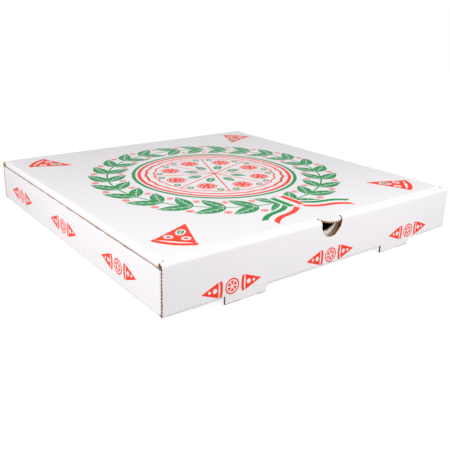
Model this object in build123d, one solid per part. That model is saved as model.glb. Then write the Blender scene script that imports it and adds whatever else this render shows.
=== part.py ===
"""Pizza box folded from one die-cut sheet of white-lined corrugated board, in millimetres.

X runs along the front wall, -Y is the front and +Z is up. The origin is the centre of
the underside, on the plane of the bottom panel's lower face. The tray is the sheet from
the rolled-over front wall to the back wall. The lid is the rest of the same sheet, past
the crease along the top of the back wall, where it turns.
"""
from build123d import *
from math import radians, tan
import os

os.makedirs("parts", exist_ok=True)

# Sheet
board = 1.6
layer_gap = 0.15  # air between layers of the sheet that lie against each other
lid_gap = 0.3  # air between the lid and the walls that it drops inside
crease_radius = 2.0  # white face of an ordinary crease

# Box
box_width = 320.0
box_depth = 320.0
box_height = 40.0

# Side walls, with a raw top edge and a flap turned in at each end
side_wall_height = 35.0
front_corner_flap = 72.0
rear_corner_flap = 36.0
corner_flap_taper = 5.0
corner_flap_radius = 1.0

# Locks of the rolled-over front wall
lock_spacing = 173.0  # from one foot's middle to the other's
lock_length = 42.0
foot_depth = 5.5
tab_play = 0.6

# Thumb notch through the front wall
notch_radius = 11.3
notch_centre_height = 36.0

# Lid
lid_side_radius = 3.3  # white face of the blunt fold along each side
side_flap_drop = 33.0  # from the top of the lid to the flap's free edge
side_flap_setback = 5.0
side_flap_taper = 9.0
tuck_flap_drop = 33.0
tuck_flap_lean = 6.0  # degrees inward, so that the flap clears the wall as the lid lifts
tuck_flap_taper = 10.0
flap_corner_radius = 6.0
corner_relief = 1.0  # between the end of the front crease and the side fold beside it
tongue_radius = 10.8
tongue_relief = 0.3  # round the hole that the tongue leaves in the tuck flap

# Places that follow from the sizes
front = -box_depth / 2
back = box_depth / 2
right = box_width / 2
flap_inset = board + layer_gap  # from a wall's outer face to the flap behind it
wall_stack = 3 * board + 2 * layer_gap
inner_panel = front + wall_stack - board  # kraft face of the front wall's inner panel
crown_rear_radius = board + layer_gap
crown_front_radius = wall_stack - crown_rear_radius - layer_gap
lid_front = front + wall_stack + lid_gap
lid_side = right - board - lid_gap
lid_flat_side = lid_side - lid_side_radius
hinge_y = back - board / 2
hinge_z = box_height - board / 2
lid_rear = hinge_y - board / 2 - lid_gap
lid_underside = box_height - board


def folded(plane, corners, radii, length):
    """Sheet bent round creases: a section on the plane, carried along its normal.

    The white face runs through the corners, which all turn left, and each is rounded
    by its radius. The kraft face lies one board to its left.
    """
    white = [Vector(*corner) for corner in corners]
    runs = [(b - a).normalized() for a, b in zip(white, white[1:])]
    lefts = [Vector(-run.Y, run.X) * board for run in runs]
    kraft = [white[0] + lefts[0]]
    for corner, before, after in zip(white[1:], lefts, lefts[1:]):
        kraft.append(corner + (before + after) / (1 + before.dot(after) / board**2))
    kraft.append(white[-1] + lefts[-1])
    inner_radii = [radius - board for radius in reversed(radii)]
    outline = FilletPolyline(
        *white,
        *reversed(kraft),
        radius=[0, *radii, 0, 0, *inner_radii, 0],
        close=True,
    )
    return extrude(plane * make_face(outline), length)


def flat(plane, corners, radii, thickness):
    """Flat stretch of sheet, or a cutter: an outline with rounded corners, thickened."""
    outline = FilletPolyline(*corners, radius=radii, close=True)
    return extrude(plane * make_face(outline), thickness)


def block(low, high):
    """Rectangular block between two opposite corners."""
    size = [b - a for a, b in zip(low, high)]
    middle = [(a + b) / 2 for a, b in zip(low, high)]
    return Pos(*middle) * Box(*size)


def both_sides(half):
    """A right-hand piece together with its mirror image on the left."""
    return half + mirror(half, about=Plane.YZ)


def front_wall():
    """Outer panel, crown and inner panel, rolled over the side walls' corner flaps."""
    wall = folded(
        Plane.YZ.offset(-right),
        [
            (front + wall_stack, flap_inset),
            (front + wall_stack, box_height),
            (front, box_height),
            (front, 0),
            (front + crease_radius + layer_gap, 0),
        ],
        [crown_rear_radius, crown_front_radius, crease_radius],
        box_width,
    )
    # Below the crown the inner panel is narrower, to drop between the side walls.
    margin = layer_gap / 2
    between_walls = block(
        (lid_side, inner_panel - margin, board + margin),
        (right + margin, front + wall_stack + margin, side_wall_height + lid_gap),
    )
    return wall - both_sides(between_walls)


def back_wall():
    """Back wall with its bottom crease, ending in the rounded top of the lid's crease."""
    wall = folded(
        Plane.YZ.offset(-right),
        [(back - crease_radius - layer_gap, 0), (back, 0), (back, hinge_z)],
        [crease_radius],
        box_width,
    )
    crease = Pos(0, hinge_y, hinge_z) * Rot(0, 90, 0) * Cylinder(board / 2, box_width)
    return wall + crease


def corner_flap(y, reach):
    """Flap that lies behind the front or back wall, its free end tapered top and bottom."""
    root = right - 2 * crease_radius
    end = right - reach
    corners = [
        (root, crease_radius),
        (root, side_wall_height),
        (end + corner_flap_taper, side_wall_height),
        (end, side_wall_height - corner_flap_taper),
        (end, crease_radius + corner_flap_taper),
        (end + corner_flap_taper, crease_radius),
    ]
    radii = [0, 0] + 4 * [corner_flap_radius]
    return flat(Plane.XZ.offset(-y), corners, radii, board)


def side_wall():
    """Right-hand wall, the crease under it, and the corner flaps at its two ends."""
    near = front + flap_inset
    far = back - flap_inset
    wall = folded(
        Plane.XY.offset(crease_radius),
        [
            (right - 3 * crease_radius, near),
            (right, near),
            (right, far),
            (right - 3 * crease_radius, far),
        ],
        [crease_radius, crease_radius],
        side_wall_height - crease_radius,
    )
    # The crease under the wall stops at its rounded corners, which leaves the pinhole
    # that a folded corner has.
    wall += folded(
        Plane.XZ.offset(crease_radius - far),
        [(right - 2 * crease_radius, 0), (right, 0), (right, 2 * crease_radius)],
        [crease_radius],
        far - near - 2 * crease_radius,
    )
    wall += corner_flap(near + board, front_corner_flap)
    wall += corner_flap(far, rear_corner_flap)
    return wall


def lock_outline():
    """Foot seen flat, its root on the X axis: square on the left, coved on the right."""
    strip = Pos(0, foot_depth / 2) * Rectangle(lock_length, foot_depth)
    return strip - Pos(lock_length / 2, foot_depth) * Circle(foot_depth)


def slot(x):
    """Cutter for the slot that a foot leaves in the bottom panel and its crease."""
    plane = Plane((x, front, -board), x_dir=(1, 0, 0), z_dir=(0, 0, 1))
    return extrude(plane * lock_outline(), board + crease_radius)


def foot(x):
    """Foot below the outer front panel, with the uncreased stretch of panel over it."""
    plane = Plane((x, front, 0), x_dir=(1, 0, 0), z_dir=(0, 1, 0))
    straight = block(
        (x - lock_length / 2, front, 0),
        (x + lock_length / 2, front + board, crease_radius),
    )
    return extrude(plane * lock_outline(), board) + straight


def locking_tab(x):
    """Tab of the inner front panel, down through the slot to the underside."""
    return block(
        (x - lock_length / 2 + tab_play, inner_panel, 0),
        (
            x + lock_length / 2 - foot_depth - tab_play,
            front + wall_stack,
            flap_inset + board,
        ),
    )


def thumb_notch():
    """Cutter for the half-round notch through both front panels and the crown."""
    through = wall_stack + 2 * layer_gap
    plane = Plane((0, front - layer_gap, 0), x_dir=(-1, 0, 0), z_dir=(0, 1, 0))
    mouth_height = box_height - notch_centre_height + board
    mouth = Pos(0, notch_centre_height + mouth_height / 2) * Rectangle(
        2 * notch_radius, mouth_height
    )
    outline = Pos(0, notch_centre_height) * Circle(notch_radius) + mouth
    return extrude(plane * outline, through)


def make_tray():
    """Bottom panel with its four walls, locked at the front."""
    tray = block(
        (-right + crease_radius, front + crease_radius, 0),
        (right - crease_radius, back - crease_radius, board),
    )
    side = side_wall()
    for wall in (front_wall(), back_wall(), side, mirror(side, about=Plane.YZ)):
        tray += wall
    for x in (-lock_spacing / 2, lock_spacing / 2):
        tray = tray - slot(x) + foot(x) + locking_tab(x)
    return tray - thumb_notch()


def tuck_flap():
    """Front flap of the lid, with the half-moon hole that its tongue was cut from."""
    half_width = lid_flat_side - corner_relief
    lean = tuck_flap_drop * tan(radians(tuck_flap_lean))
    flap = folded(
        Plane.YZ.offset(-half_width),
        [
            (lid_front + 2 * crease_radius, box_height),
            (lid_front, box_height),
            (lid_front + lean, box_height - tuck_flap_drop),
        ],
        [crease_radius],
        2 * half_width,
    )
    depth = lean + 3 * crease_radius
    outline = flat(
        Plane.XZ.offset(-lid_front - depth),
        [
            (half_width, box_height),
            (-half_width, box_height),
            (-half_width, lid_underside - crease_radius),
            (-half_width + tuck_flap_taper, box_height - tuck_flap_drop - board),
            (half_width - tuck_flap_taper, box_height - tuck_flap_drop - board),
            (half_width, lid_underside - crease_radius),
        ],
        [0, 0, 0, flap_corner_radius, flap_corner_radius, 0],
        depth + board,
    )
    hole_radius = tongue_radius + tongue_relief
    half_moon = Pos(0, lid_underside) * Circle(hole_radius)
    half_moon -= Pos(0, lid_underside + hole_radius) * Rectangle(
        2 * hole_radius, 2 * hole_radius
    )
    hole = extrude(Plane.XZ.offset(-lid_front - depth) * half_moon, depth + board)
    crease_gap = block(
        (-hole_radius, lid_front - board, lid_underside - layer_gap),
        (hole_radius, lid_front + 2 * crease_radius, box_height + board),
    )
    return (flap & outline) - hole - crease_gap


def tongue():
    """Thumb tongue, which stays flat in the lid's plane over the notch."""
    plane = Plane.XY.offset(lid_underside)
    root = 3 * crease_radius
    tip = Circle(tongue_radius) + Pos(0, root / 2) * Rectangle(2 * tongue_radius, root)
    tip -= Pos(0, root + tongue_radius) * Rectangle(
        2 * tongue_radius, 2 * tongue_radius
    )
    return extrude(plane * Pos(0, lid_front) * tip, board)


def side_flap():
    """Right-hand flap of the lid, with the blunt fold above it."""
    flap = folded(
        Plane.XZ.offset(-lid_rear),
        [
            (lid_side, box_height - side_flap_drop),
            (lid_side, box_height),
            (lid_flat_side - corner_relief / 2, box_height),
        ],
        [lid_side_radius],
        lid_rear - lid_front,
    )
    fold_end = box_height - lid_side_radius
    free_edge = box_height - side_flap_drop
    outline = flat(
        Plane.YZ.offset(lid_flat_side - corner_relief),
        [
            (lid_front, box_height),
            (lid_front, fold_end),
            (lid_front + side_flap_setback, fold_end),
            (lid_front + side_flap_setback + side_flap_taper, free_edge),
            (lid_rear - side_flap_setback - side_flap_taper, free_edge),
            (lid_rear - side_flap_setback, fold_end),
            (lid_rear, fold_end),
            (lid_rear, box_height),
        ],
        [0, 0, 0, flap_corner_radius, flap_corner_radius, 0, 0, 0],
        2 * lid_side_radius,
    )
    return flap & outline


def make_lid():
    """Lid panel with its side flaps, tuck flap and tongue."""
    lid = block(
        (-lid_flat_side, lid_front + crease_radius, lid_underside),
        (lid_flat_side, lid_rear, box_height),
    )
    lid += tuck_flap() + tongue() + both_sides(side_flap())
    return lid


export_step(make_tray(), "parts/tray.step")
export_step(make_lid(), "parts/lid.step")
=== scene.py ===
"""Pizza box folded from one printed sheet of corrugated board, lit for a studio picture."""
from math import cos, pi, radians, sin, tan

import bmesh
import bpy
import numpy as np
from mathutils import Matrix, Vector
from mathutils.geometry import delaunay_2d_cdt


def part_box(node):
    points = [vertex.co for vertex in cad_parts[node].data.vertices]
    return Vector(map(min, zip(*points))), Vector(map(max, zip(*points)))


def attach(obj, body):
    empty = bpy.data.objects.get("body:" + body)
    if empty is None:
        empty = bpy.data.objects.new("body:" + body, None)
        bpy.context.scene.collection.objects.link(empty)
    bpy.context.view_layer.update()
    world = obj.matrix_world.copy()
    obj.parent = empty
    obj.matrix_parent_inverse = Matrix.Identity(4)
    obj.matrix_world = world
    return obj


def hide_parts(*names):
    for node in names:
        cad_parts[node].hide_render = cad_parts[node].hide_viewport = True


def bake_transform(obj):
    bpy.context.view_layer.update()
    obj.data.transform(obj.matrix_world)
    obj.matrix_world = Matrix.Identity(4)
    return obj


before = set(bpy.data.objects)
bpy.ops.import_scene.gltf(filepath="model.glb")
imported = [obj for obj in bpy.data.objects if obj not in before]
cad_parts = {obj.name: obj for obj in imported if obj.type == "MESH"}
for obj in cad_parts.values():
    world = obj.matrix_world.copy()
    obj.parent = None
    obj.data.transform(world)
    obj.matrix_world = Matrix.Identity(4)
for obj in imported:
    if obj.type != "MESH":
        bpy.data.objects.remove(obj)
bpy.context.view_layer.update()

# The tray is most of the sheet: a bottom with four walls, white outside and kraft inside. Its
# front wall is rolled over the corner flaps of the side walls, and two feet and two tabs lock
# it into the bottom, without glue.
MM = 0.001
tray_low, tray_high = (np.array(corner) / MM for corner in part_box("tray"))
right, back, height = tray_high
front = tray_low[1]
foot_depth = -tray_low[2]
foot_cove = 2.8
board = 1.6
layer_gap = 0.15
crease_radius = 2.0
flap_inset = board + layer_gap
crown_back = front + 3 * board + 2 * layer_gap
crown_rear_radius = board + layer_gap
crown_front_radius = crown_back - front - crown_rear_radius - layer_gap
side_wall_height = 35.0
front_corner_flap = 72.0
rear_corner_flap = 36.0
corner_flap_taper = 5.0
lock_places = (-86.5, 86.5)
lock_length = 42.0
tab_play = 0.6
wall_top_gap = 0.3
notch_radius = 11.3
notch_centre_height = 36.0
back_wall_end = 39.0
hinge_strip_reach = 4.0
hinge_strip_half_width = 154.8
shading_margin = 1.0
weld_distance = 0.01
knife_tooth = 2.6
knife_bite = 0.3
hairline = 1e-6
edge_tolerance = 1e-3
arc_rows = 10
row_overhang = 1.0
cove_points = 13
sharp_fold = 14.0
cut_layers = ((0, 0.5), (0.13, 0.08), (0.2, 0.3), (0.8, 0.3), (0.87, 0.05), (1, 0.3))
crush_waves = ((0.3, 0.19, 0.27), (0.2, 0.61, -0.43))


def creased(corners, radii):
    """Path of the white face in section: straight between the corners, and round at each one.

    An arc takes radius times tan(half its turn) off the straight runs beside it. Each run and
    each arc has a start along the path, a place, a heading and a curvature, and the place
    after it lies one chord further, at the mean of its two headings.
    """
    corners = np.array(corners, float)
    radii = np.array(radii, float)
    steps = np.diff(corners, axis=0)
    headings = np.unwrap(np.arctan2(steps[:, 1], steps[:, 0]))
    turns = np.diff(headings)
    taken = radii * np.tan(turns / 2)
    lengths = np.zeros(2 * len(radii) + 1)
    lengths[::2] = np.hypot(*steps.T) - np.append(taken, 0) - np.insert(taken, 0, 0)
    lengths[1::2] = radii * turns
    curvatures = np.zeros(len(lengths))
    curvatures[1::2] = 1 / radii
    headings = headings[0] + np.insert(np.cumsum(lengths * curvatures), 0, 0)
    means = (headings[1:] + headings[:-1]) / 2
    chords = lengths * np.sinc(lengths * curvatures / (2 * pi))
    moves = chords[:, None] * np.stack([np.cos(means), np.sin(means)], axis=1)
    return {
        "starts": np.insert(np.cumsum(lengths), 0, 0),
        "places": corners[0] + np.vstack([[0, 0], np.cumsum(moves, axis=0)]),
        "headings": headings,
        "curvatures": curvatures,
    }


def bend(path, along, depth):
    """Section point at a distance along the path's white face and a depth into the board.

    It lies one chord from the start of its run or arc, and its depth is to the left of the
    heading there.
    """
    last = len(path["curvatures"]) - 1
    part = np.clip(np.searchsorted(path["starts"], along, side="right") - 1, 0, last)
    step = along - path["starts"][part]
    turn = path["curvatures"][part] * step
    heading = path["headings"][part]
    chord = step * np.sinc(turn / (2 * pi))
    place = path["places"][part]
    return (
        place[:, 0] + chord * np.cos(heading + turn / 2) - depth * np.sin(heading + turn),
        place[:, 1] + chord * np.sin(heading + turn / 2) + depth * np.cos(heading + turn),
    )


def crease_rows(path):
    """Distances along the path where the mesh has a row: an even number over each arc, so that
    none is in the middle of its turn, and one a margin inside each end of a longer run, which
    keeps the shading of flat panels flat."""
    starts = path["starts"]
    arcs = np.linspace(starts[1:-1:2], starts[2:-1:2], arc_rows).ravel()
    run_starts = starts[:-1:2]
    run_ends = starts[1::2]
    longer = run_ends - run_starts > 2 * shading_margin
    margins = [run_starts[longer] + shading_margin, run_ends[longer] - shading_margin]
    rows = np.unique(np.round(np.concatenate([arcs, *margins]), 9))
    return rows[(rows > hairline) & (rows < starts[-1] - hairline)]


def toothed(*points):
    """Stroke of the serrated knife through the points: each straight stretch is divided into
    half teeth, and every second point of it is pushed into the board by the bite."""
    points = np.array(points, float)
    steps = np.diff(points, axis=0)
    lengths = np.hypot(*steps.T)
    counts = np.maximum(np.rint(lengths / (knife_tooth / 2)).astype(int), 1)
    first = np.repeat(np.cumsum(counts) - counts, counts)
    number = np.arange(counts.sum()) - first
    share = number / np.repeat(counts, counts)
    inward = np.stack([-steps[:, 1], steps[:, 0]], axis=1) / lengths[:, None]
    pushed = np.where(number % 2 == 1, knife_bite, 0.0)
    starts, steps, inward = (
        np.repeat(values, counts, axis=0) for values in (points[:-1], steps, inward)
    )
    stroke = starts + share[:, None] * steps + pushed[:, None] * inward
    return np.vstack([stroke, points[-1:]])


def arc(centre, radius, start, end, count=24):
    """Points of a circle round the centre, between two angles in degrees."""
    angles = np.radians(np.linspace(start, end, count + 1))
    return np.array(centre) + radius * np.stack([np.cos(angles), np.sin(angles)], axis=1)


def anticlockwise(loop):
    """The loop's points without repeats, in anticlockwise order by the sign of its area."""
    loop = loop[np.any(np.abs(loop - np.roll(loop, 1, axis=0)) > hairline, axis=1)]
    following = np.roll(loop, -1, axis=0)
    area = np.sum(loop[:, 0] * following[:, 1] - following[:, 0] * loop[:, 1])
    return loop if area > 0 else loop[::-1]


def fill(outline, holes, rows):
    """Triangles between the outline and its holes, with an edge along every crease row."""
    loops = [anticlockwise(loop) for loop in (outline, *holes)]
    ends = np.cumsum([len(loop) for loop in loops])
    faces = [list(range(end - len(loop), end)) for loop, end in zip(loops, ends)]
    low = outline[:, 0].min() - row_overhang
    high = outline[:, 0].max() + row_overhang
    row_points = np.array([[x, row] for row in rows for x in (low, high)]).reshape(-1, 2)
    row_edges = ends[-1] + np.arange(len(row_points)).reshape(-1, 2)
    points, _, triangles, _, _, sources = delaunay_2d_cdt(
        np.vstack([*loops, row_points]).tolist(), row_edges.tolist(), faces, 0, hairline
    )
    on_board = [triangle for triangle, source in zip(triangles, sources) if source == [0]]
    return np.array(points), np.array(on_board)


def on_edges(points, edges):
    """Which points lie on one of the straight edges: their share of it is from 0 to 1."""
    found = np.zeros(len(points), bool)
    for start, end in edges:
        step = np.subtract(end, start)
        share = (points - start) @ step / (step @ step)
        distance = np.hypot(*(points - start - share[:, None] * step).T)
        within = (share > -hairline) & (share < 1 + hairline)
        found |= within & (distance < edge_tolerance)
    return found


def sheet_patch(outline, holes, joined, path, place, blank, butted=()):
    """Patch of the sheet: both faces and the cut edges between them.

    A point of the outline's plane is at (across, along). bend() turns along and the depth into
    a section point, place() adds across to it, and blank() gives the point's place on the flat
    sheet. At a cut the liners are crushed back and the core is recessed between them, by the
    recess of each of the cut_layers, times a crush of 1 and the small sines of crush_waves. No
    cut edge is made where the outline is joined to the next patch, and one that is butted
    against another piece stays square.
    """
    flat, triangles = fill(outline, holes, crease_rows(path))
    used, triangles = np.unique(triangles, return_inverse=True)
    flat = flat[used]
    triangles = triangles.reshape(-1, 3)
    sides = np.vstack([triangles[:, [0, 1]], triangles[:, [1, 2]], triangles[:, [2, 0]]])
    _, first, counts = np.unique(
        np.sort(sides, axis=1), axis=0, return_index=True, return_counts=True
    )
    rim = sides[first[counts == 1]]
    rim = rim[~on_edges(flat[rim].mean(axis=1), joined)]
    inward = np.zeros_like(flat)
    steps = flat[rim[:, 1]] - flat[rim[:, 0]]
    normals = np.stack([-steps[:, 1], steps[:, 0]], axis=1)
    normals /= np.hypot(*normals.T)[:, None]
    np.add.at(inward, rim[:, 0], normals)
    np.add.at(inward, rim[:, 1], normals)
    lengths = np.hypot(*inward.T)
    inward /= np.where(lengths > 0, lengths, 1)[:, None]
    inward[on_edges(flat, [*joined, *butted])] = 0
    across, along = flat.T
    crush = np.ones(len(flat))
    for amount, turn_across, turn_along in crush_waves:
        crush += amount * np.sin(turn_across * across + turn_along * along)
    points = []
    places_on_blank = []
    for depth, recess in cut_layers:
        recessed = flat + (recess * crush)[:, None] * inward
        section = bend(path, recessed[:, 1], depth * board)
        points.append(place(recessed[:, 0], *section))
        u, v = blank(recessed[:, 0], recessed[:, 1])
        places_on_blank.append(np.stack([u, v, np.full(len(u), float(depth))], axis=1))
    layers = len(points)
    faces = [triangles[:, ::-1], triangles + (layers - 1) * len(flat)]
    for layer in range(layers - 1):
        near = rim + layer * len(flat)
        far = near + len(flat)
        faces.append(np.stack([near[:, 0], near[:, 1], far[:, 1]], axis=1))
        faces.append(np.stack([near[:, 0], far[:, 1], far[:, 0]], axis=1))
    return np.vstack(points), np.vstack(faces), np.vstack(places_on_blank)


def mirrored(patch):
    """The patch's mirror image about the middle of the box."""
    points, faces, places_on_blank = patch
    return points * [-1, 1, 1], faces[:, ::-1], places_on_blank * [-1, 1, 1]


def sheet_piece(name, patches):
    """Mesh of the patches, welded where they meet, with each vertex's place on the blank."""
    offsets = np.cumsum([0] + [len(points) for points, _, _ in patches[:-1]])
    points = np.vstack([patch[0] for patch in patches])
    faces = np.vstack([patch[1] + offset for patch, offset in zip(patches, offsets)])
    places_on_blank = np.vstack([patch[2] for patch in patches])
    used, faces = np.unique(faces, return_inverse=True)
    mesh = bpy.data.meshes.new(name)
    mesh.from_pydata((points[used] * MM).tolist(), [], faces.reshape(-1, 3).tolist())
    mesh.attributes.new("blank", "FLOAT_VECTOR", "POINT").data.foreach_set(
        "vector", places_on_blank[used].astype(np.float32).ravel()
    )
    welded = bmesh.new()
    welded.from_mesh(mesh)
    bmesh.ops.remove_doubles(welded, verts=welded.verts, dist=weld_distance * MM)
    welded.to_mesh(mesh)
    welded.free()
    mesh.polygons.foreach_set("use_smooth", np.ones(len(mesh.polygons), bool))
    mesh.update()
    mesh.set_sharp_from_angle(angle=radians(sharp_fold))
    piece = bpy.data.objects.new(name, mesh)
    bpy.context.scene.collection.objects.link(piece)
    return piece


class Wire:
    """Shader socket. Arithmetic on it adds Math nodes, and node() adds any other node. Of two
    values, | gives the greater and & the smaller."""

    def __init__(self, tree, socket=None):
        self.tree = tree
        self.socket = socket

    def node(self, kind, settings, values, output=0):
        """New node with its settings and with the values or wires of its sockets."""
        made = self.tree.nodes.new(kind)
        for name, setting in settings.items():
            setattr(made, name, setting)
        for name, value in values.items():
            if isinstance(value, Wire):
                self.tree.links.new(value.socket, made.inputs[name])
            else:
                made.inputs[name].default_value = value
        return Wire(self.tree, made.outputs[output])

    def maths(self, operation, *others):
        """Math node on this wire and the others, in that order."""
        values = dict(enumerate((self, *others)))
        return self.node("ShaderNodeMath", {"operation": operation}, values)

    def mixed(self, near, far):
        """Colour that turns from near to far as this wire goes from 0 to 1."""
        return self.node("ShaderNodeMix", {"data_type": "RGBA"}, {0: self, 6: near, 7: far}, 2)

    def __add__(self, other):
        return self.maths("ADD", other)

    def __sub__(self, other):
        return self.maths("SUBTRACT", other)

    def __rsub__(self, other):
        return -self + other

    def __mul__(self, other):
        return self.maths("MULTIPLY", other)

    def __truediv__(self, other):
        return self.maths("DIVIDE", other)

    def __neg__(self):
        return self.maths("MULTIPLY", -1)

    def __abs__(self):
        return self.maths("ABSOLUTE")

    def __or__(self, other):
        return self.maths("MAXIMUM", other)

    def __and__(self, other):
        return self.maths("MINIMUM", other)

    __radd__ = __add__
    __rmul__ = __mul__


ink_bleed = 0.3


def inked(distance):
    """Ink inside a shape: 1 where its distance is negative, 0 outside, soft over the bleed."""
    return distance.node(
        "ShaderNodeMath",
        {"operation": "MULTIPLY_ADD", "use_clamp": True},
        {0: distance, 1: -1 / ink_bleed, 2: 0.5},
    )


def band(offset, half_width):
    """Ink on both sides of a line, as far as the half width."""
    return inked(abs(offset) - half_width)


def length(x, y):
    """Distance from the origin, the root of the sum of both squares."""
    return (x * x + y * y).maths("SQRT")


def wrapped(value, span):
    """The value less whole spans, so that it lies within half a span of zero."""
    return value.maths("WRAP", span / 2, -span / 2)


def noise(place, scale, detail, roughness=0.5):
    """Fractal noise of a place, from 0 to 1 and mostly near the middle."""
    sockets = {"Vector": place, "Scale": scale, "Detail": detail, "Roughness": roughness}
    return place.node("ShaderNodeTexNoise", {}, sockets)


white_liner = (0.93, 0.905, 0.93, 1)
aged_white = (0.905, 0.875, 0.895, 1)
kraft_light = (0.56, 0.35, 0.2, 1)
kraft_dark = (0.4, 0.235, 0.125, 1)
cut_light = (0.66, 0.4, 0.21, 1)
# Dark end of the cut edge's colour. It serves both for darker kraft and for the painted shade of the
# flute hollows, the bites of the teeth and the edges at the feet.
cut_dark_and_painted_shade = (0.12, 0.045, 0.015, 1)
red_ink = (1.0, 0.05, 0.015, 1)
green_ink = (0.004, 0.3, 0.08, 1)
cloud_scale = 0.03
fibre_scale = 2.2
fibre_coarseness = 0.7
streak_scale = 1.0
streak_stretch = (2.5, 0.35, 1)
squeeze_scale = 0.05
squeeze_seed = 3.7
flute_pitch = 5.85
flute_drift = 8.0
second_wave_shift = 1.0
washboard_height = 0.05
second_wave_height = 0.015
grain_height = 0.004
ink_height = 0.002
liner_depth = 0.06
liner_sharpness = 10.0
liner_ageing = 0.6
medium_swing = 0.3
medium_half_depth = 0.09
medium_sharpness = 6.0
lip_inset = 0.33
lip_sharpness = 8.0
bite_stray = 0.5
bite_shift = 0.1
bite_softness = 0.4
# Painted shade: how much darker the bites of the knife's teeth and the cut edges at the feet and
# their slots are painted.
painted_bite_and_foot_shade = 0.6
cut_shade = 0.55
cut_contrast = 1.1
crest_light = 0.4
least_squeeze = 0.43
wall_squeeze = 0.1
drag_growth = 3.0
deepest_drag = 0.7
relief_drag = 0.8
relief_place = 154.6
relief_reach = 0.4
lock_row_reach = 120.0
lock_band_reach = 5.0
ink_cover = 0.985
crest_ink = 0.01
fibre_ink = 0.05
streak_contrast = 1.3
streak_base = 0.15
crest_kraft = 0.05
kraft_roughness = 0.62
liner_gloss = 0.14
ink_gloss = 0.06
fibre_roughness = 0.1
board_specular = 0.04


def board_finish(name, printing):
    """Finish of the corrugated sheet, by each point's place on the blank and its depth.
    printing() gives the green and the red ink at a place.

    The outer face is a white coated liner with the print and a faint washboard over the
    flutes. The inner face is kraft with fibres. A cut edge shows both liners and the wave of the
    medium between them. The hollows beside the medium are painted dark brown as shade, and the
    bites of the knife's teeth and the cut edges at the feet and their slots are painted darker
    still as shade. In places the knife has dragged the white liner over the cut: on the side
    walls more than elsewhere, at the small reliefs at the lid's corners, and neither in the bites
    of its teeth nor at the feet and their slots.
    """
    material = bpy.data.materials.new(name)
    material.use_nodes = True
    tree = material.node_tree
    shader = tree.nodes["Principled BSDF"]
    start = Wire(tree)
    place = start.node("ShaderNodeAttribute", {"attribute_name": "blank"}, {}, "Vector")
    across, along, depth = (
        place.node("ShaderNodeSeparateXYZ", {}, {0: place}, axis) for axis in "XYZ"
    )
    phase = across * (2 * pi / flute_pitch)
    wave = phase.maths("SINE")
    second_wave = (phase * 2 + second_wave_shift).maths("SINE")
    clouds = noise(place, cloud_scale, 3)
    fibres = noise(place, fibre_scale, 5, fibre_coarseness)
    stretched = place.node(
        "ShaderNodeVectorMath", {"operation": "MULTIPLY"}, {0: place, 1: streak_stretch}
    )
    streaks = noise(stretched, streak_scale, 4)
    squeezed = place.node(
        "ShaderNodeTexNoise",
        {"noise_dimensions": "4D"},
        {"Vector": place, "W": squeeze_seed, "Scale": squeeze_scale, "Detail": 2},
    )

    teeth = (across + along + fibres * bite_stray) * (2 * pi / knife_tooth)
    bitten = inked((teeth.maths("SINE") + bite_shift) * bite_softness)
    from_lock_band = abs(along - front - foot_depth / 2) - lock_band_reach
    # Bites of the teeth and the band of the feet and slots: no liner is dragged there, and the same
    # mask paints their cut edges darker as shade.
    undragged_and_shaded = bitten | inked(from_lock_band | (abs(across) - lock_row_reach))
    on_walls = inked(right + crease_radius - abs(across))
    dragged = (squeezed + on_walls * wall_squeeze - least_squeeze) * drag_growth
    dragged = (dragged | 0) & deepest_drag
    at_reliefs = band(abs(across) - relief_place, relief_reach)
    dragged = dragged * (1 - undragged_and_shaded) | at_reliefs * relief_drag
    outside = inked((depth - liner_depth - dragged) * liner_sharpness)
    inside = inked((1 - liner_depth - depth) * liner_sharpness)

    paper = (clouds * liner_ageing).mixed(white_liner, aged_white)
    green, red = printing(across, along)
    ink_strength = ink_cover + wave * crest_ink + (fibres - 0.5) * fibre_ink
    paper = (green * ink_strength).mixed(paper, green_ink)
    paper = (red * ink_strength).mixed(paper, red_ink)
    kraft_share = streaks * streak_contrast - streak_base + wave * crest_kraft
    kraft = kraft_share.mixed(kraft_dark, kraft_light)

    drift = phase + (clouds - 0.5) * flute_drift
    medium_centre = 0.5 + drift.maths("SINE") * medium_swing
    medium = inked((abs(depth - medium_centre) - medium_half_depth) * medium_sharpness)
    lips = inked((lip_inset - abs(depth - 0.5)) * lip_sharpness)
    # Colour across a cut edge: the medium and the liners' lips are lighter, the flute hollows between
    # them are painted dark as shade, and the bites and the edges at the feet and slots are painted
    # darker as shade.
    cut_share = (
        cut_shade
        + (clouds - 0.5) * cut_contrast
        + (medium | lips) * crest_light
        - undragged_and_shaded * painted_bite_and_foot_shade
    )
    surface = inside.mixed(cut_share.mixed(cut_dark_and_painted_shade, cut_light), kraft)
    surface = outside.mixed(surface, paper)
    tree.links.new(surface.socket, shader.inputs["Base Color"])

    ink = (red | green) * outside
    roughness = (
        kraft_roughness - outside * liner_gloss - ink * ink_gloss + fibres * fibre_roughness
    )
    tree.links.new(roughness.socket, shader.inputs["Roughness"])
    relief = (
        wave * washboard_height
        + second_wave * second_wave_height
        + fibres * grain_height
        + ink * ink_height
    )
    bump = relief.node(
        "ShaderNodeBump", {}, {"Height": relief, "Distance": MM, "Strength": 1.0}
    )
    tree.links.new(bump.socket, shader.inputs["Normal"])
    shader.inputs["Specular IOR Level"].default_value = board_specular
    return material


def across_section(across, y, z):
    """Patch that runs across the box: its section is in the YZ plane."""
    return np.stack([across, y, z], axis=1)


def along_section(forward, x, z):
    """Patch that runs along the box: its section is in the XZ plane."""
    return np.stack([x, -forward, z], axis=1)


def upright_section(height_above, x, y):
    """Patch that stands up: its section is in plan."""
    return np.stack([x, y, height_above], axis=1)


strip = creased(
    [
        (crown_back, 0),
        (crown_back, height),
        (front, height),
        (front, 0),
        (back, 0),
        (back, height),
    ],
    [crown_rear_radius, crown_front_radius, crease_radius, crease_radius],
)
_, _, _, _, _, front_crease, floor_start, _, back_crease, _ = strip["starts"]


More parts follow.
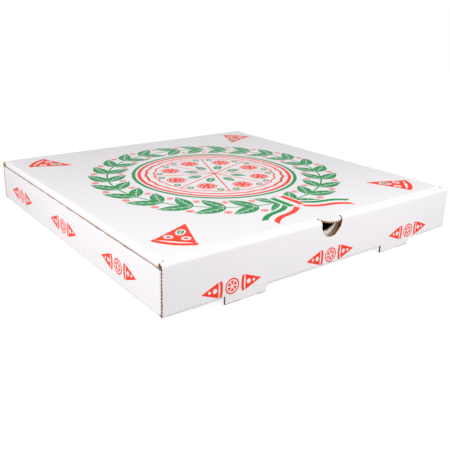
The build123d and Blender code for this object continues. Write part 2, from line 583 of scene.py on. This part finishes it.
def on_front(z):
    """Distance along the strip of a height on the outer front panel."""
    return front_crease + crease_radius - z


def on_floor(y):
    """Distance along the strip of a place on the bottom panel."""
    return floor_start + y - front - crease_radius


def on_back(z):
    """Distance along the strip of a height on the back wall."""
    return back_crease + z - crease_radius


blank_origin = on_floor(0)
lid_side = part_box("lid")[1].x / MM
floor_side = right - crease_radius
corner = right - flap_inset - crease_radius
pinhole = right - crease_radius - layer_gap
strip_joint = height - hinge_strip_reach
strip_end = on_back(strip_joint)
inner_edge = flap_inset
right_edge = np.vstack([
    toothed(
        (lid_side, inner_edge),
        (lid_side, side_wall_height + wall_top_gap),
        (right, side_wall_height + wall_top_gap),
        (right, on_floor(-pinhole)),
        (floor_side, on_floor(-pinhole)),
        (floor_side, on_floor(-corner)),
    ),
    toothed(
        (floor_side, on_floor(corner)),
        (floor_side, on_floor(pinhole)),
        (right, on_floor(pinhole)),
        (right, on_back(back_wall_end)),
        (hinge_strip_half_width, on_back(back_wall_end)),
        (hinge_strip_half_width, strip_end),
    ),
])
inner_edge_points = [(-lid_side, inner_edge)]
for middle in lock_places:
    tab_start = middle - lock_length / 2 + tab_play
    tab_end = middle + lock_length / 2 - foot_depth - tab_play
    inner_edge_points += [
        (tab_start, inner_edge), (tab_start, 0), (tab_end, 0), (tab_end, inner_edge)
    ]
inner_edge_points.append((lid_side, inner_edge))
strip_outline = np.vstack([
    toothed(*inner_edge_points), right_edge, (right_edge * [-1, 1])[::-1]
])
notch = np.vstack([
    arc((0, on_front(notch_centre_height)), notch_radius, 0, 180),
    arc((0, notch_centre_height), notch_radius, 180, 360),
])


def slot_depth(depth):
    """Distance from the crease's start to a distance behind the front plane: the arc's angle
    has a cosine of 1 less that share of its radius, and past the arc the floor is flat."""
    angle = np.arccos(np.clip(1 - depth / crease_radius, 0, 1))
    return crease_radius * angle + np.maximum(depth - crease_radius, 0)


def lock_outline(middle, root, reach):
    """Foot or slot on the flat sheet: square on the left, and coved on the right by a quarter
    of an ellipse as high as the foot is deep. reach() gives distances past the root."""
    angles = np.linspace(0, pi / 2, cove_points)
    cove = np.stack([
        middle + lock_length / 2 - foot_cove * np.sin(angles),
        root + reach(foot_depth * (1 - np.cos(angles))),
    ], axis=1)
    left = middle - lock_length / 2
    end = root + reach(np.array([foot_depth]))[0]
    return np.vstack([
        [(left, root), (middle + lock_length / 2, root)],
        cove,
        toothed((cove[-1][0], end), (left, end), (left, root)),
    ])


slots = [lock_outline(middle, front_crease, slot_depth) for middle in lock_places]
foot_roots = [
    [(middle - lock_length / 2, front_crease), (middle + lock_length / 2, front_crease)]
    for middle in lock_places
]
side_joints = [
    [(side, on_floor(-corner)), (side, on_floor(corner))] for side in (-floor_side, floor_side)
]
tray_patches = [
    sheet_patch(
        strip_outline,
        [notch, *slots],
        foot_roots + side_joints,
        strip,
        across_section,
        lambda across, along: (across, along - blank_origin),
        [[(-hinge_strip_half_width, strip_end), (hinge_strip_half_width, strip_end)]],
    )
]
foot_path = creased([(front, crease_radius), (front, -foot_depth)], [])
for middle in lock_places:
    tray_patches.append(
        sheet_patch(
            lock_outline(middle, 0, lambda depth: depth + crease_radius * (depth > 0)),
            [],
            [[(middle - lock_length / 2, 0), (middle + lock_length / 2, 0)]],
            foot_path,
            across_section,
            lambda across, along: (across, along + front_crease - blank_origin),
        )
    )
side_crease = creased(
    [(floor_side, 0), (right, 0), (right, crease_radius)], [crease_radius]
)
quarter = side_crease["starts"][-1]
inner_corner = corner - shading_margin
side_crease_outline = np.array([
    (-corner, 0),
    (corner, 0),
    (corner, quarter),
    (inner_corner, quarter),
    (-inner_corner, quarter),
    (-corner, quarter),
])
side_crease_patch = sheet_patch(
    side_crease_outline,
    [],
    [[(-corner, 0), (corner, 0)], [(-corner, quarter), (corner, quarter)]],
    side_crease,
    along_section,
    lambda forward, along: (floor_side + along, -forward),
)
plan = creased(
    [
        (right - front_corner_flap, front + flap_inset),
        (right, front + flap_inset),
        (right, back - flap_inset),
        (right - rear_corner_flap, back - flap_inset),
    ],
    [crease_radius, crease_radius],
)
_, _, wall_start, wall_end, _, plan_end = plan["starts"]
taper = corner_flap_taper
side_outline = toothed(
    (crease_radius, wall_end),
    (crease_radius, plan_end - taper),
    (crease_radius + taper, plan_end),
    (side_wall_height - taper, plan_end),
    (side_wall_height, plan_end - taper),
    (side_wall_height, taper),
    (side_wall_height - taper, 0),
    (crease_radius + taper, 0),
    (crease_radius, taper),
    (crease_radius, wall_start),
)
side_patch = sheet_patch(
    side_outline,
    [],
    [[(crease_radius, wall_start), (crease_radius, wall_end)]],
    plan,
    upright_section,
    lambda height_above, along: (
        floor_side + quarter + height_above - crease_radius,
        along - (wall_start + wall_end) / 2,
    ),
)
tray_patches += [side_crease_patch, side_patch]
tray_patches += [mirrored(side_crease_patch), mirrored(side_patch)]
motifs_in_row = 3
motif_spacing = 102.0
motif_half_height = 8.0
front_motif_middle = 1.0
front_motif_height = 8.4
side_motif_middle = 4.0
side_motif_height = 15.5
motif_cuts = 6
motif_line = 0.45
motif_ring = 4.7
motif_pizza = 6.4
motif_slice_tip = 27.5
motif_slice_base = 12.2
motif_slice_slope = 0.41
motif_slice_holes = ((15.4, 1.9), (20.2, 1.2))
motif_crust_reach = 9.6
motif_crust_bow = 0.02
motif_crust_half_width = 1.2


def slice_row(along, up):
    """Red motif of a whole pizza between two slices: a disc less a ring and six cuts, and on
    each side a triangle less two dots, with a bowed bar of crust at its base."""
    radius = length(along, up)
    cut_angle = wrapped(up.maths("ARCTAN2", along), 2 * pi / motif_cuts)
    cuts = abs(cut_angle * radius) - motif_line
    pizza = inked(radius - motif_pizza) * (1 - band(radius - motif_ring, motif_line))
    pizza = pizza * (1 - inked(cuts | (radius - motif_ring)))
    reach = abs(along)
    side = abs(up) - (motif_slice_tip - reach) * motif_slice_slope
    wedge = inked(side | (motif_slice_base - reach))
    for hole_reach, hole_size in motif_slice_holes:
        wedge = wedge * inked(hole_size - length(reach - hole_reach, up))
    crust = band(reach - motif_crust_reach - up * up * motif_crust_bow, motif_crust_half_width)
    crust = crust & band(up, motif_pizza)
    return pizza | wedge | crust


def wall_printing(across, along):
    """Print of the walls: the red motif three times on the front and on each side wall."""
    front_offset = across - front_motif_middle
    front_up = (on_front(front_motif_height) - blank_origin) - along
    front_red = slice_row(wrapped(front_offset, motif_spacing), front_up)
    front_red = front_red * band(front_up, motif_half_height)
    front_red = front_red * band(front_offset, motif_spacing * motifs_in_row / 2)
    side_place = wrapped(along - side_motif_middle, motif_spacing)
    side_up = abs(across) - (floor_side + quarter + side_motif_height - crease_radius)
    side_red = slice_row(side_place, side_up) * band(side_up, motif_half_height)
    side_red = side_red * band(along, inner_corner)
    return across * 0, front_red | side_red


tray_sheet = sheet_piece("tray_sheet", tray_patches)
tray_sheet.data.materials.append(board_finish("printed_walls", wall_printing))
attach(tray_sheet, "tray")
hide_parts("tray")

# The rear crease joins the back wall to the lid and ends short of the lid's side folds. It is
# built closed, a quarter turn with an even number of rows over its arc and none at its middle.
rear_crease_path = creased(
    [(back, strip_joint), (back, height), (back - hinge_strip_reach, height)], [crease_radius]
)
rear_crease_length = rear_crease_path["starts"][-1]
rear_crease_outline = np.array([
    (-hinge_strip_half_width, 0),
    (hinge_strip_half_width, 0),
    (hinge_strip_half_width, rear_crease_length),
    (-hinge_strip_half_width, rear_crease_length),
])
rear_crease = sheet_piece("rear_crease", [
    sheet_patch(
        rear_crease_outline,
        [],
        [],
        rear_crease_path,
        across_section,
        lambda across, along: (across, along + strip_end - blank_origin),
        [rear_crease_outline[:2], rear_crease_outline[2:]],
    )
])
rear_crease.data.materials.append(
    board_finish("plain_board", lambda across, along: (across * 0, along * 0))
)
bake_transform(rear_crease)

# The lid is the rest of the sheet: a panel with a blunt fold and a flap along each side, and a
# tuck flap that drops behind the front wall. The thumb tongue is cut out of the tuck flap and
# stays flat over the notch.
lid_low, lid_high = (np.array(corner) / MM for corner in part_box("lid"))
lid_rear = lid_high[1]
lid_gap = 0.3
lid_front = crown_back + lid_gap
lid_side_radius = 3.3
side_flap_edge = lid_low[2]
side_flap_front_setback = 0.8
side_flap_rear_setback = 2.0
side_flap_taper = 9.0
tuck_flap_lean = 6.0
tuck_flap_taper = 10.0
flap_corner_radius = 6.0
rounding_points = 9
corner_relief = 0.3
tongue_relief = 0.3
tongue_steps = 18
tongue_radius = lid_front - lid_low[1]
hole_radius = tongue_radius + tongue_relief

lid_section = creased(
    [
        (lid_side, side_flap_edge),
        (lid_side, height),
        (-lid_side, height),
        (-lid_side, side_flap_edge),
    ],
    [lid_side_radius, lid_side_radius],
)
_, fold_start, panel_start, panel_end, _, _ = lid_section["starts"]
panel_middle = (panel_start + panel_end) / 2
tuck_path = creased(
    [
        (lid_front + 2 * crease_radius, height),
        (lid_front, height),
        (lid_front + (height - side_flap_edge) * tan(radians(tuck_flap_lean)), side_flap_edge),
    ],
    [crease_radius],
)
tuck_start = tuck_path["starts"][1]
tuck_flat = tuck_path["starts"][2]
tuck_end = tuck_path["starts"][3]
tuck_line = lid_front + 2 * crease_radius - tuck_start
relief_end = lid_side - lid_side_radius - corner_relief / 2
tuck_half_width = relief_end - corner_relief / 2
lid_joint = back - hinge_strip_reach
panel_row = lid_side - lid_side_radius - shading_margin


def on_lid(x):
    """Distance along the lid's section of a place across its panel."""
    return panel_middle - x


def rounded(before, point, after, radius):
    """Points that round a corner of an outline: an arc whose tangent points lie radius times
    tan(half the turn) from it."""
    before, point, after = (np.array(place, float) for place in (before, point, after))
    arriving = (point - before) / np.hypot(*(point - before))
    leaving = (after - point) / np.hypot(*(after - point))
    turn = np.arctan2(arriving[0] * leaving[1] - arriving[1] * leaving[0], arriving @ leaving)
    sideways = np.array([-arriving[1], arriving[0]]) * np.sign(turn)
    start = point - arriving * radius * np.tan(abs(turn) / 2)
    angles = np.linspace(0, abs(turn), rounding_points)[:, None]
    return start + radius * (np.sin(angles) * arriving + (1 - np.cos(angles)) * sideways)


flap_front_top = (-lid_front - side_flap_front_setback, fold_start)
flap_front_low = (flap_front_top[0] - side_flap_taper, 0)
flap_rear_top = (-lid_rear + side_flap_rear_setback, fold_start)
flap_rear_low = (flap_rear_top[0] + side_flap_taper, 0)
right_front = np.vstack([
    rounded(flap_rear_low, flap_front_low, flap_front_top, flap_corner_radius),
    toothed(
        flap_front_top,
        (-lid_front, fold_start),
        (-lid_front, on_lid(relief_end)),
        (-tuck_line, on_lid(relief_end)),
        (-tuck_line, on_lid(tuck_half_width)),
    ),
    [
        (-tuck_line, on_lid(hole_radius)),
        (-tuck_line, on_lid(tongue_radius)),
        (-lid_front, on_lid(tongue_radius)),
    ],
    arc((-lid_front, on_lid(0)), tongue_radius, -90, 0, tongue_steps),
])
right_rear = np.vstack([
    rounded(flap_front_low, flap_rear_low, flap_rear_top, flap_corner_radius),
    toothed(
        flap_rear_top,
        (-lid_rear, fold_start),
        (-lid_rear, on_lid(hinge_strip_half_width)),
        (-lid_joint, on_lid(hinge_strip_half_width)),
    ),
])
other_side = [1, -1]
shift = np.array([0, 2 * panel_middle])
lid_outline = np.vstack([
    right_front,
    (right_front * other_side + shift)[::-1],
    right_rear * other_side + shift,
    right_rear[::-1],
])
tuck_joints = [
    [(-tuck_line, on_lid(side * hole_radius)), (-tuck_line, on_lid(side * tuck_half_width))]
    for side in (-1, 1)
]
reliefs = [
    [(-forward, on_lid(side * relief_end)), (-tuck_line, on_lid(side * across))]
    for side in (-1, 1)
    for forward, across in ((lid_front, relief_end), (tuck_line, tuck_half_width))
]
lid_on_blank = strip_end - blank_origin + rear_crease_length + lid_joint
lid_patch = sheet_patch(
    lid_outline,
    [],
    tuck_joints,
    lid_section,
    along_section,
    lambda forward, along: (panel_middle - along, lid_on_blank + forward),
    [
        [(-lid_joint, on_lid(-hinge_strip_half_width)), (-lid_joint, on_lid(hinge_strip_half_width))],
        *reliefs,
    ],
)
hole_centre = height - board


def on_tuck_flap(z):
    """Distance along the tuck flap of a height on its leaning face."""
    straight_top = tuck_path["places"][2][1]
    return tuck_flat + (straight_top - z) / cos(radians(tuck_flap_lean))


tuck_low = (tuck_half_width - tuck_flap_taper, tuck_end)
tuck_high = (tuck_half_width, on_tuck_flap(height - board - crease_radius))
tuck_corner = rounded(tuck_high, tuck_low, (0, tuck_end), flap_corner_radius)
tuck_right = np.vstack([
    [(panel_row, tuck_start), (tuck_half_width, tuck_start)],
    toothed(tuck_high, tuck_corner[0]),
    tuck_corner,
])
tuck_outline = np.vstack([
    tuck_right,
    toothed(tuck_right[-1], tuck_right[-1] * [-1, 1]),
    (tuck_right * [-1, 1])[::-1],
    [(-hole_radius, tuck_start)],
    arc((0, on_tuck_flap(hole_centre)), hole_radius, 180, 0),
    [(hole_radius, tuck_start)],
])
tuck_patch = sheet_patch(
    tuck_outline,
    [],
    [
        [(side * hole_radius, tuck_start), (side * tuck_half_width, tuck_start)]
        for side in (-1, 1)
    ],
    tuck_path,
    across_section,
    lambda across, along: (across, lid_on_blank - tuck_line + along - tuck_start),
)
leaf_taper = 0.25
vein_slant = 1.1
vein_half_width = 0.32
side_vein_half_width = 0.22
side_vein_spacing = 0.5
side_vein_reach = 0.55


def turned(x, y, degrees):
    """Coordinates in axes that are turned by an angle in degrees."""
    angle = radians(degrees)
    return x * cos(angle) + y * sin(angle), y * cos(angle) - x * sin(angle)


def leaf(p, q, half_length, half_width):
    """Leaf with its tip along p: its edge falls as 1 less the square of its share of the
    length, less a little towards the tip, and thin veins are left bare."""
    share = p / half_length
    edge = abs(q) - half_width * (1 - share * share) * (1 - share * leaf_taper)
    edge = edge | (abs(p) - half_length)
    slant = p - abs(q) * vein_slant
    side_veins = slant.maths("PINGPONG", half_width * side_vein_spacing) - side_vein_half_width
    side_veins = side_veins | (abs(q) - half_width * side_vein_reach)
    return inked(edge) * (1 - inked((abs(q) - vein_half_width) & side_veins))


wreath_radius = 106.0
wreath_pairs = 12
cell_length = pi / wreath_pairs * wreath_radius
stem_half_width = 0.8
leaf_place = 9.0
leaf_lean = 38.0
leaf_half_length = 15.6
leaf_half_width = 6.4
berry_place = (1.5, 13.0)
berry_size = 3.1
berry_ring = 1.7
berry_ring_half_width = 0.3


def wreath_print(x, y, radius):
    """Leaves and berries of the wreath: the way round it from the front is cut into equal
    cells on both sides, with a pair of leaves in each, and berries where two cells meet."""
    cell = abs(x).maths("ARCTAN2", -y) * (wreath_pairs / pi)
    offset = radius - wreath_radius
    along_cell = (cell.maths("FRACT") - 0.5) * cell_length
    p, q = turned(along_cell, abs(offset) - leaf_place, leaf_lean)
    leaves = leaf(p, q, leaf_half_length, leaf_half_width) | band(offset, stem_half_width)
    between_cells = ((cell + 0.5).maths("FRACT") - 0.5) * cell_length
    from_berry = length(between_cells - berry_place[0], abs(offset) - berry_place[1])
    berry_rings = band(from_berry - berry_ring, berry_ring_half_width)
    return leaves, inked(from_berry - berry_size) * (1 - berry_rings)


ribbon_start = (6.0, -118.0)
ribbon_turn = -26.0
ribbon_length = 47.0
ribbon_half_width = 7.5
ribbon_end_slant = 0.8
ribbon_wave = 2.0
ribbon_wave_rate = 0.14
ribbon_bare_half_width = 2.5
ribbon_room = 2.0
knot_half_size = (8.5, 13.0)
knot_bare_half_width = 2.8
knot_room = 1.2


def ribbon_print(x, y):
    """Striped ribbon at the front of the wreath: its green, its red, and the room that the
    wreath leaves for it. The tails run on a sine, and the knot is upright over their start."""
    tail_x, tail_y = turned(abs(x) - ribbon_start[0], y - ribbon_start[1], ribbon_turn)
    tail_y = tail_y + ribbon_wave * (tail_x * ribbon_wave_rate).maths("SINE")
    from_side = abs(tail_y) - ribbon_half_width
    from_end = tail_x - ribbon_length - from_side * ribbon_end_slant
    tail = from_side | from_end | -tail_x
    knot = (abs(x) - knot_half_size[0]) | (abs(y + wreath_radius) - knot_half_size[1])
    room = inked((tail & knot) - ribbon_room)
    tail_ink = inked(tail) * (1 - inked(knot - knot_room))
    green = tail_ink * inked(ribbon_bare_half_width - tail_y)
    green = green | inked(knot) * inked(x + knot_bare_half_width)
    red = tail_ink * inked(tail_y + ribbon_bare_half_width)
    red = red | inked(knot) * inked(knot_bare_half_width - x)
    return green, red, room


slices = 8
green_ring = 80.5
red_ring = 75.0
ring_half_width = 1.7
crust_radius = 68.0
crust_half_width = 1.3
crust_ripple = 0.5
cheese_radius = 60.0
cheese_line_half_width = 0.8
cheese_ripple = 0.6
ripples = 24
slice_cut_half_width = 0.7
tomato_place = 45.0
tomato_size = 9.5
tomato_skin = 8.0
tomato_skin_half_width = 0.35
seeds = 5
seed_place = 4.6
seed_stretch = 7.0
seed_size = 1.5
olive_place = (53.0, 14.0)
olive_radius = 2.3
olive_half_width = 1.0
basil_place = 24.0
basil_half_size = (9.0, 4.2)


def pizza_print(x, y, radius):
    """Green and red of two plain rings round a pizza. All that lies on it is drawn once, in
    the axes of one slice: a tomato with seeds, a basil leaf, and an olive ring to each side.
    The crust and the rim of the cheese are circles with a small ripple."""
    angle = y.maths("ARCTAN2", x)
    slice_angle = wrapped(angle, 2 * pi / slices)
    outward = radius * slice_angle.maths("COSINE")
    aside = radius * slice_angle.maths("SINE")
    cut_angle = wrapped(angle + pi / slices, 2 * pi / slices)
    cuts = inked((abs(cut_angle * radius) - slice_cut_half_width) | (radius - cheese_radius))
    ripple = (angle * ripples).maths("SINE")
    crust = band(radius - crust_radius - ripple * crust_ripple, crust_half_width)
    rim = band(radius - cheese_radius + ripple * cheese_ripple, cheese_line_half_width)

    from_tomato = length(outward - tomato_place, aside)
    tomato_angle = aside.maths("ARCTAN2", outward - tomato_place)
    seed_angle = wrapped(tomato_angle, 2 * pi / seeds)
    seed_ink = inked(length(from_tomato - seed_place, seed_angle * seed_stretch) - seed_size)
    tomato = inked(from_tomato - tomato_size) * (1 - seed_ink)
    tomato = tomato * (1 - band(from_tomato - tomato_skin, tomato_skin_half_width))
    from_olive = length(outward - olive_place[0], abs(aside) - olive_place[1])
    olives = band(from_olive - olive_radius, olive_half_width)
    basil = leaf(outward - basil_place, aside, *basil_half_size)

    green = band(radius - green_ring, ring_half_width) | olives | basil
    red = band(radius - red_ring, ring_half_width) | cuts | crust | rim | tomato
    return green, red


corner_slice_place = 172.0
corner_slice_tip = 24.0
corner_slice_slope = 0.42
corner_slice_base = 13.5
corner_crust_place = 18.2
corner_crust_bow = 0.012
corner_crust_half_width = 2.2
corner_crust_half_length = 17.0
topping_place = (6.0, 6.6)
topping_hole = 3.7
topping_size = 1.8
corner_leaf_place = -5.0
corner_leaf_hole = 6.2
corner_leaf_squeeze = 1.6
corner_leaf_half_size = (5.4, 2.6)


def corner_print(x, y):
    """Green and red of a slice in each corner, drawn once in axes along the diagonal: a
    triangle with a bowed bar of crust, less three holes, with a dot or a leaf in each."""
    p, q = turned(abs(x), abs(y), 45)
    p = p - corner_slice_place
    side = abs(q) - (p + corner_slice_tip) * corner_slice_slope
    from_topping = length(p - topping_place[0], abs(q) - topping_place[1])
    from_leaf = length(p - corner_leaf_place, q * corner_leaf_squeeze)
    wedge = inked(side | (p - corner_slice_base))
    wedge = wedge * inked(topping_hole - from_topping) * inked(corner_leaf_hole - from_leaf)
    crust = band(p - corner_crust_place + q * q * corner_crust_bow, corner_crust_half_width)
    crust = crust & band(q, corner_crust_half_length)
    green = leaf(p - corner_leaf_place, q, *corner_leaf_half_size)
    red = wedge | crust | inked(from_topping - topping_size)
    return green, red


print_half_size = (152.0, 150.0)


def lid_printing(across, along):
    """Print of the lid, all from formulas in polar or folded coordinates: the wreath with its
    ribbon, the rings and the pizza inside it, and a slice in each corner."""
    x = across
    y = lid_on_blank - along
    radius = length(x, y)
    leaves, berries = wreath_print(x, y, radius)
    ribbon_green, ribbon_red, room = ribbon_print(x, y)
    pizza_green, pizza_red = pizza_print(x, y, radius)
    corner_green, corner_red = corner_print(x, y)
    green = leaves * (1 - room) | ribbon_green | pizza_green | corner_green
    red = berries * (1 - room) | ribbon_red | pizza_red | corner_red
    on_panel = band(x, print_half_size[0]) * band(y, print_half_size[1])
    return green * on_panel, red * on_panel


lid_sheet = sheet_piece("lid_sheet", [lid_patch, tuck_patch])
lid_sheet.data.materials.append(board_finish("printed_lid", lid_printing))
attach(lid_sheet, "lid")
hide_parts("lid")

# The floor is a plain pale table top. The box stands on the two feet of its front wall and on
# the crease under its back wall, so the table top slopes by one degree against the box.
floor_reach = 1500.0
floor_gap = 0.1
floor_glow = 0.84
floor_slope = foot_depth / (back - front)
floor_corners = np.array([(-1, -1), (1, -1), (1, 1), (-1, 1)]) * floor_reach
floor_heights = (floor_corners[:, 1] - back) * floor_slope - floor_gap
floor_mesh = bpy.data.meshes.new("table_top")
floor_mesh.from_pydata(
    (np.column_stack([floor_corners, floor_heights]) * MM).tolist(), [], [(0, 1, 2, 3)]
)
table_top = bpy.data.objects.new("table_top", floor_mesh)
bpy.context.scene.collection.objects.link(table_top)


def straight_rays(tree):
    """1 for rays that come straight to the eye, off a glossy face or through glass, and 0 for
    those that light up something else."""
    start = Wire(tree)
    seen, glossy, transmitted = (
        start.node("ShaderNodeLightPath", {}, {}, f"Is {kind} Ray")
        for kind in ("Camera", "Glossy", "Transmission")
    )
    return seen | glossy | transmitted


floor_finish = bpy.data.materials.new("pale_table")
floor_finish.use_nodes = True
floor_shader = floor_finish.node_tree.nodes["Principled BSDF"]
floor_shader.inputs["Base Color"].default_value = (0.35, 0.35, 0.35, 1)
floor_shader.inputs["Roughness"].default_value = 0.8
floor_shader.inputs["Specular IOR Level"].default_value = 0.0
floor_shader.inputs["Emission Color"].default_value = (1, 1, 1, 1)
glow = straight_rays(floor_finish.node_tree) * floor_glow
floor_finish.node_tree.links.new(glow.socket, floor_shader.inputs["Emission Strength"])
floor_mesh.materials.append(floor_finish)

# The studio: a white world that fills the shadows, with a soft lamp low on the left and one in
# front, both close enough that their light falls off towards the back. A weak lamp low behind
# the box keeps its other walls from going dull.
ambient = 0.48
world = bpy.data.worlds.new("studio")
bpy.context.scene.world = world
world.use_nodes = True
background = world.node_tree.nodes["Background"]
background.inputs["Color"].default_value = (1, 1, 1, 1)
strength = ambient + straight_rays(world.node_tree) * (1 - ambient)
world.node_tree.links.new(strength.socket, background.inputs["Strength"])
lamp_diameter = 0.4


def soft_lamp(name, place, watts):
    """Round lamp that faces the middle of the box."""
    lamp_data = bpy.data.lights.new(name, "AREA")
    lamp_data.shape = "DISK"
    lamp_data.size = lamp_diameter
    lamp_data.energy = watts
    lamp = bpy.data.objects.new(name, lamp_data)
    lamp.location = place
    lamp.rotation_euler = (-Vector(place)).to_track_quat("-Z", "Y").to_euler()
    lamp.visible_camera = False
    bpy.context.scene.collection.objects.link(lamp)


soft_lamp("left_lamp", (-0.65, -0.08, 0.26), 2.3)
soft_lamp("front_lamp", (0.08, -0.58, 0.36), 2.15)
soft_lamp("rear_lamp", (0.45, 0.6, 0.13), 0.5)

# The camera stands in front of the box on its left, low over the table.
camera_data = bpy.data.cameras.new("camera")
camera_data.sensor_width = 36
camera_data.lens = 47.108
camera_data.shift_x = 0.02
camera_data.shift_y = -0.03
camera = bpy.data.objects.new("camera", camera_data)
camera.location = (-0.34130, -0.45854, 0.19732)
camera.rotation_euler = tuple(radians(angle) for angle in (70.9211, -1.1377, -36.5196))
bpy.context.scene.collection.objects.link(camera)
bpy.context.scene.camera = camera
bpy.context.scene.view_settings.view_transform = "Standard"
